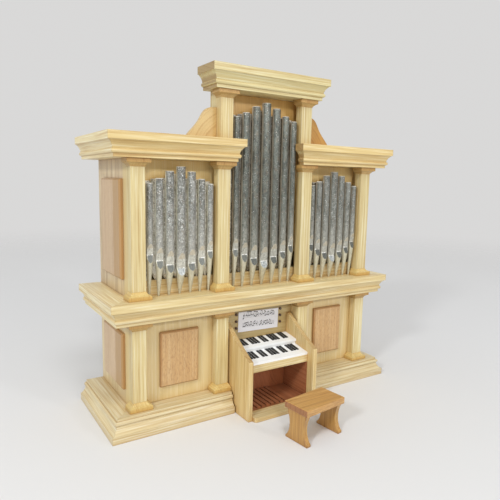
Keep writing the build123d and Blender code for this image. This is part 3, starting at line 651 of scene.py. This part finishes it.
NODES_OF_FINISH = {
    "pale_x": ("belt_front", "back_rails", "bottom_board", "case_top", "toe_board",
               "console_floor", "key_bed"),
    "pale_y": ("belt_sides", "cornice_sides"),
    "pale_z": ("lower_posts", "upper_posts", "tower_posts", "tower_walls"),
    "plinth_x": ("base_fronts",),
    "plinth_y": ("base_sides",),
    "cornice_x": ("cornice_fronts",),
    "crown_x": ("centre_cornice",),
    "cheek": ("console_cheeks",),
    "striped": ("upper_side_walls",),
    "side": ("lower_side_walls",),
    "ply": ("lower_front_panels", "lower_back_panel", "upper_back_panel"),
    "board": ("music_board",),
    "block": ("lower_post_bases", "upper_post_bases"),
    "capital": ("lower_post_capitals", "upper_post_capitals", "tower_post_capitals"),
    "beech": ("front_raised_panels",),
    "upper_side_beech": ("upper_side_raised_panels",),
    "lower_side_beech": ("lower_side_raised_panels",),
    "wing": ("wings",),
    "seat": ("bench_seat",),
    "leg": ("bench_legs",),
    "niche": ("pipe_backboard",),
    "tall_niche": ("tower_back_panel",),
    "dark": ("kneehole_back", "kneehole_sides", "pedal_board"),
    "metal_left": ("front_pipes_left",),
    "metal_centre": ("front_pipes_centre",),
    "metal_right": ("front_pipes_right",),
    "metal_back_left": ("back_pipes_left",),
    "metal_back": ("back_pipes_centre", "back_pipes_right"),
    "white": ("lower_manual", "upper_manual"),
    "black": ("lower_sharps", "upper_sharps"),
    "paper": ("music_sheet",),
    "knob": ("stop_knobs",),
}
for finish, names in NODES_OF_FINISH.items():
    for name in names:
        materials = nodes[name].data.materials
        materials.clear()
        materials.append(finishes[finish])


# Printed notes, in millimetres from the middle of the sheet, and degrees
SHEET_TILT = 2.2
PRINT_LIFT = 0.02
STAVES = (3.6, -2.4)
STAVE_ENDS = ((-12.2, -0.3), (0.3, 12.2))
STAVE_LINES = 5
LINE_GAP = 0.6
LINE_THICK = 0.07
BAR_THICK = 0.15
# Where the notes start on a stave, with a clef and without, and where they end
CLEF_MARGIN = 2.6
PLAIN_MARGIN = 0.7
END_MARGIN = 1.2
LAST_NOTE_MARGIN = 0.7
# How many notes share a beam, how high they stand, in half gaps, and how far apart they and
# their groups are
GROUPS = (2, 2, 3, 4)
RISES = (-3, -2, -1, 0, 1)
NOTE_STEPS = (1.0, 1.25)
GROUP_GAPS = (0.1, 0.4)
NOTE_SEED = 11
# A note's head is a slanted oval, with its stem at the right
HEAD_SIDES = 10
HEAD_WIDTH = 0.5
HEAD_HEIGHT = 0.36
HEAD_SLANT = 0.12
STEM_ASIDE = 0.42
STEM_LENGTH = 2.1
STEM_THICK = 0.16
BEAM_THICK = 0.42
# A clef is a spiral, an upright through it, given by its two ends, and a dot under it
CLEF_STEPS = 14
CLEF_TURN = 0.55
CLEF_WIDTH = 0.55
CLEF_HEIGHT = 0.75
CLEF_THICK = 0.2
UPRIGHT = (-0.1, -1.7, 0.25, 2.0)
UPRIGHT_THICK = 0.18
DOT = (-0.25, -1.7)


def printed_notes():
    """Two staves of plain made-up notes on the sheet, as flat shapes just in front of it."""
    low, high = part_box("music_sheet")
    middle = (low + high) / 2
    turn = math.radians(SHEET_TILT)
    built = bmesh.new()

    def shape(points):
        corners = []
        for x, z in points:
            across = x * math.cos(turn) + z * math.sin(turn)
            up = z * math.cos(turn) - x * math.sin(turn)
            corners.append(built.verts.new((middle.x + across * MM, low.y - PRINT_LIFT * MM,
                                            middle.z + up * MM)))
        built.faces.new(corners)

    def bar(x0, z0, x1, z1, thick):
        along = Vector((x1 - x0, z1 - z0)).normalized() * thick / 2
        side = Vector((-along.y, along.x))
        a, b = Vector((x0, z0)), Vector((x1, z1))
        shape([a - side, b - side, b + side, a + side])

    def head(x, z):
        angles = [2 * math.pi * step / HEAD_SIDES for step in range(HEAD_SIDES)]
        shape([(x + HEAD_WIDTH * math.cos(angle),
                z + HEAD_HEIGHT * math.sin(angle) + HEAD_SLANT * math.cos(angle))
               for angle in angles])

    def clef(x, z):
        angles = [step * CLEF_TURN for step in range(CLEF_STEPS)]
        loop = [(CLEF_WIDTH * math.cos(angle) * (1 - angle / CLEF_STEPS),
                 CLEF_HEIGHT * math.sin(angle) * (1 - angle / CLEF_STEPS)) for angle in angles]
        for start, end in zip(loop, loop[1:]):
            bar(x + start[0], z + start[1], x + end[0], z + end[1], CLEF_THICK)
        bar(x + UPRIGHT[0], z + UPRIGHT[1], x + UPRIGHT[2], z + UPRIGHT[3], UPRIGHT_THICK)
        head(x + DOT[0], z + DOT[1])

    def empty_stave(first, last, stave):
        half = (STAVE_LINES - 1) / 2 * LINE_GAP
        for line in range(STAVE_LINES):
            z = stave + line * LINE_GAP - half
            bar(first, z, last, z, LINE_THICK)
        bar(last, stave - half, last, stave + half, BAR_THICK)

    chance = random.Random(NOTE_SEED)
    for stave in STAVES:
        for first, last in STAVE_ENDS:
            empty_stave(first, last, stave)
            has_clef = stave == STAVES[0] and first == STAVE_ENDS[0][0]
            x = first + (CLEF_MARGIN if has_clef else PLAIN_MARGIN)
            while x < last - END_MARGIN:
                group = chance.choice(GROUPS)
                rises = [chance.choice(RISES) * LINE_GAP / 2 for _ in range(group)]
                step = chance.uniform(*NOTE_STEPS)
                beam_from = stave + rises[0] + STEM_LENGTH
                beam_to = stave + rises[-1] + STEM_LENGTH
                for number, rise in enumerate(rises):
                    place = x + number * step
                    if place > last - LAST_NOTE_MARGIN:
                        break
                    head(place, stave + rise)
                    top = beam_from + (beam_to - beam_from) * number / (group - 1)
                    stem = place + STEM_ASIDE
                    bar(stem, stave + rise, stem, top, STEM_THICK)
                bar(x + STEM_ASIDE, beam_from, stem, top, BEAM_THICK)
                x = place + step + chance.uniform(*GROUP_GAPS)
    clef(STAVE_ENDS[0][0] + PLAIN_MARGIN, STAVES[0])

    mesh = bpy.data.meshes.new("printed_notes")
    built.to_mesh(mesh)
    built.free()
    mesh.materials.append(finishes["ink"])
    piece = bpy.data.objects.new("printed_notes", mesh)
    bpy.context.scene.collection.objects.link(piece)
    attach(piece, "root")


printed_notes()


# Camera, in metres, degrees and millimetres of lens
CAMERA_PLACE = (-0.17275, -0.24820, 0.13966)
CAMERA_YAW = 32.65
CAMERA_PITCH = 7.96
CAMERA_ROLL = 1.175
LENS = 35.62
SENSOR = 36.0
CLIP_START = 0.01


def camera():
    yaw, pitch, roll = (math.radians(a) for a in (CAMERA_YAW, CAMERA_PITCH, CAMERA_ROLL))
    forward = Vector((math.sin(yaw) * math.cos(pitch), math.cos(yaw) * math.cos(pitch),
                      -math.sin(pitch)))
    right = Vector((math.cos(yaw), -math.sin(yaw), 0))
    up = right.cross(forward)
    right_rolled = math.cos(roll) * right + math.sin(roll) * up
    up_rolled = math.cos(roll) * up - math.sin(roll) * right
    made = bpy.data.objects.new("camera", bpy.data.cameras.new("camera"))
    made.data.lens = LENS
    made.data.sensor_width = SENSOR
    made.data.clip_start = CLIP_START
    turn = Matrix((right_rolled, up_rolled, -forward)).transposed()
    made.matrix_world = Matrix.Translation(CAMERA_PLACE) @ turn.to_4x4()
    bpy.context.scene.collection.objects.link(made)
    bpy.context.scene.camera = made


camera()


# Stage and light, in metres and watts
FLOOR_RADIUS = 1.6
FLOOR_SIDES = 96
FLOOR_GAP = 0.00005
FLOOR_FADE = (0.26, 1.25)
# The floor's colour is painted lighter farther out, where the lamps light it less
FLOOR_PAINTED_LIGHT_TONES = (0.745, 0.85)
FLOOR_PAINTED_LIGHT_REACH = (0.15, 0.5)
FLOOR_ROUGHNESS = 0.8
BACKDROP = (0.695, 0.69, 0.685)
ROOM_LIGHT = (0.55, 0.55, 0.55)
AIM = (0, 0, 0.1)
# Name, place, size, power and colour
LAMPS = (
    ("top_light", (-0.15, -0.42, 0.95), 0.25, 2.3, (1, 1, 1)),
    ("front_light", (-0.38, -0.98, 0.50), 0.14, 2.9, (1, 1, 1)),
    ("right_light", (0.42, -1.00, 0.50), 0.10, 1.7, (1, 1, 1)),
    ("left_light", (-0.88, -0.45, 0.62), 0.16, 4.3, (0.95, 0.98, 1.0)),
)


def stage():
    """A pale floor whose rim fades into the background, painted lighter farther out, where the lamps
    light it less.
    """
    s = Shader("floor")
    reach = s.vector("LENGTH", s.node("ShaderNodeTexCoord").outputs["Object"])
    alpha = s.remap(reach, *FLOOR_FADE, 1.0, 0.0, smooth=True)
    tone = s.remap(reach, *FLOOR_PAINTED_LIGHT_REACH, *FLOOR_PAINTED_LIGHT_TONES)
    material = s.surface(Base_Color=s.join(tone, tone, tone), Roughness=FLOOR_ROUGHNESS,
                         Alpha=alpha)
    mesh = bpy.data.meshes.new("floor")
    built = bmesh.new()
    bmesh.ops.create_circle(built, cap_ends=True, radius=FLOOR_RADIUS, segments=FLOOR_SIDES)
    built.to_mesh(mesh)
    built.free()
    mesh.materials.append(material)
    floor = bpy.data.objects.new("floor", mesh)
    floor.location = (0, 0, cad_box[0].z - FLOOR_GAP)
    bpy.context.scene.collection.objects.link(floor)


stage()


def room():
    """An even room light, with the backdrop's own tone where the camera, gloss or glass sees it."""
    world = bpy.data.worlds.new("room")
    world.use_nodes = True
    tree = world.node_tree
    tree.nodes.clear()
    rays = tree.nodes.new("ShaderNodeLightPath").outputs
    seen = rays["Is Camera Ray"]
    for other in ("Is Glossy Ray", "Is Transmission Ray"):
        either = tree.nodes.new("ShaderNodeMath")
        either.operation = "MAXIMUM"
        tree.links.new(seen, either.inputs[0])
        tree.links.new(rays[other], either.inputs[1])
        seen = either.outputs[0]
    mix = tree.nodes.new("ShaderNodeMix")
    mix.data_type = "RGBA"
    tree.links.new(seen, mix.inputs["Factor"])
    mix.inputs[6].default_value = (*ROOM_LIGHT, 1)
    mix.inputs[7].default_value = (*BACKDROP, 1)
    background = tree.nodes.new("ShaderNodeBackground")
    tree.links.new(mix.outputs[2], background.inputs["Color"])
    output = tree.nodes.new("ShaderNodeOutputWorld")
    tree.links.new(background.outputs[0], output.inputs["Surface"])
    bpy.context.scene.world = world


room()


def lamp(name, place, size, power, colour):
    data = bpy.data.lights.new(name, "AREA")
    data.shape = "DISK"
    data.size = size
    data.energy = power
    data.color = colour
    made = bpy.data.objects.new(name, data)
    made.location = place
    made.rotation_euler = (Vector(AIM) - Vector(place)).to_track_quat("-Z", "Y").to_euler()
    made.visible_camera = False
    bpy.context.scene.collection.objects.link(made)


for description in LAMPS:
    lamp(*description)
bpy.context.scene.view_settings.view_transform = "Standard"
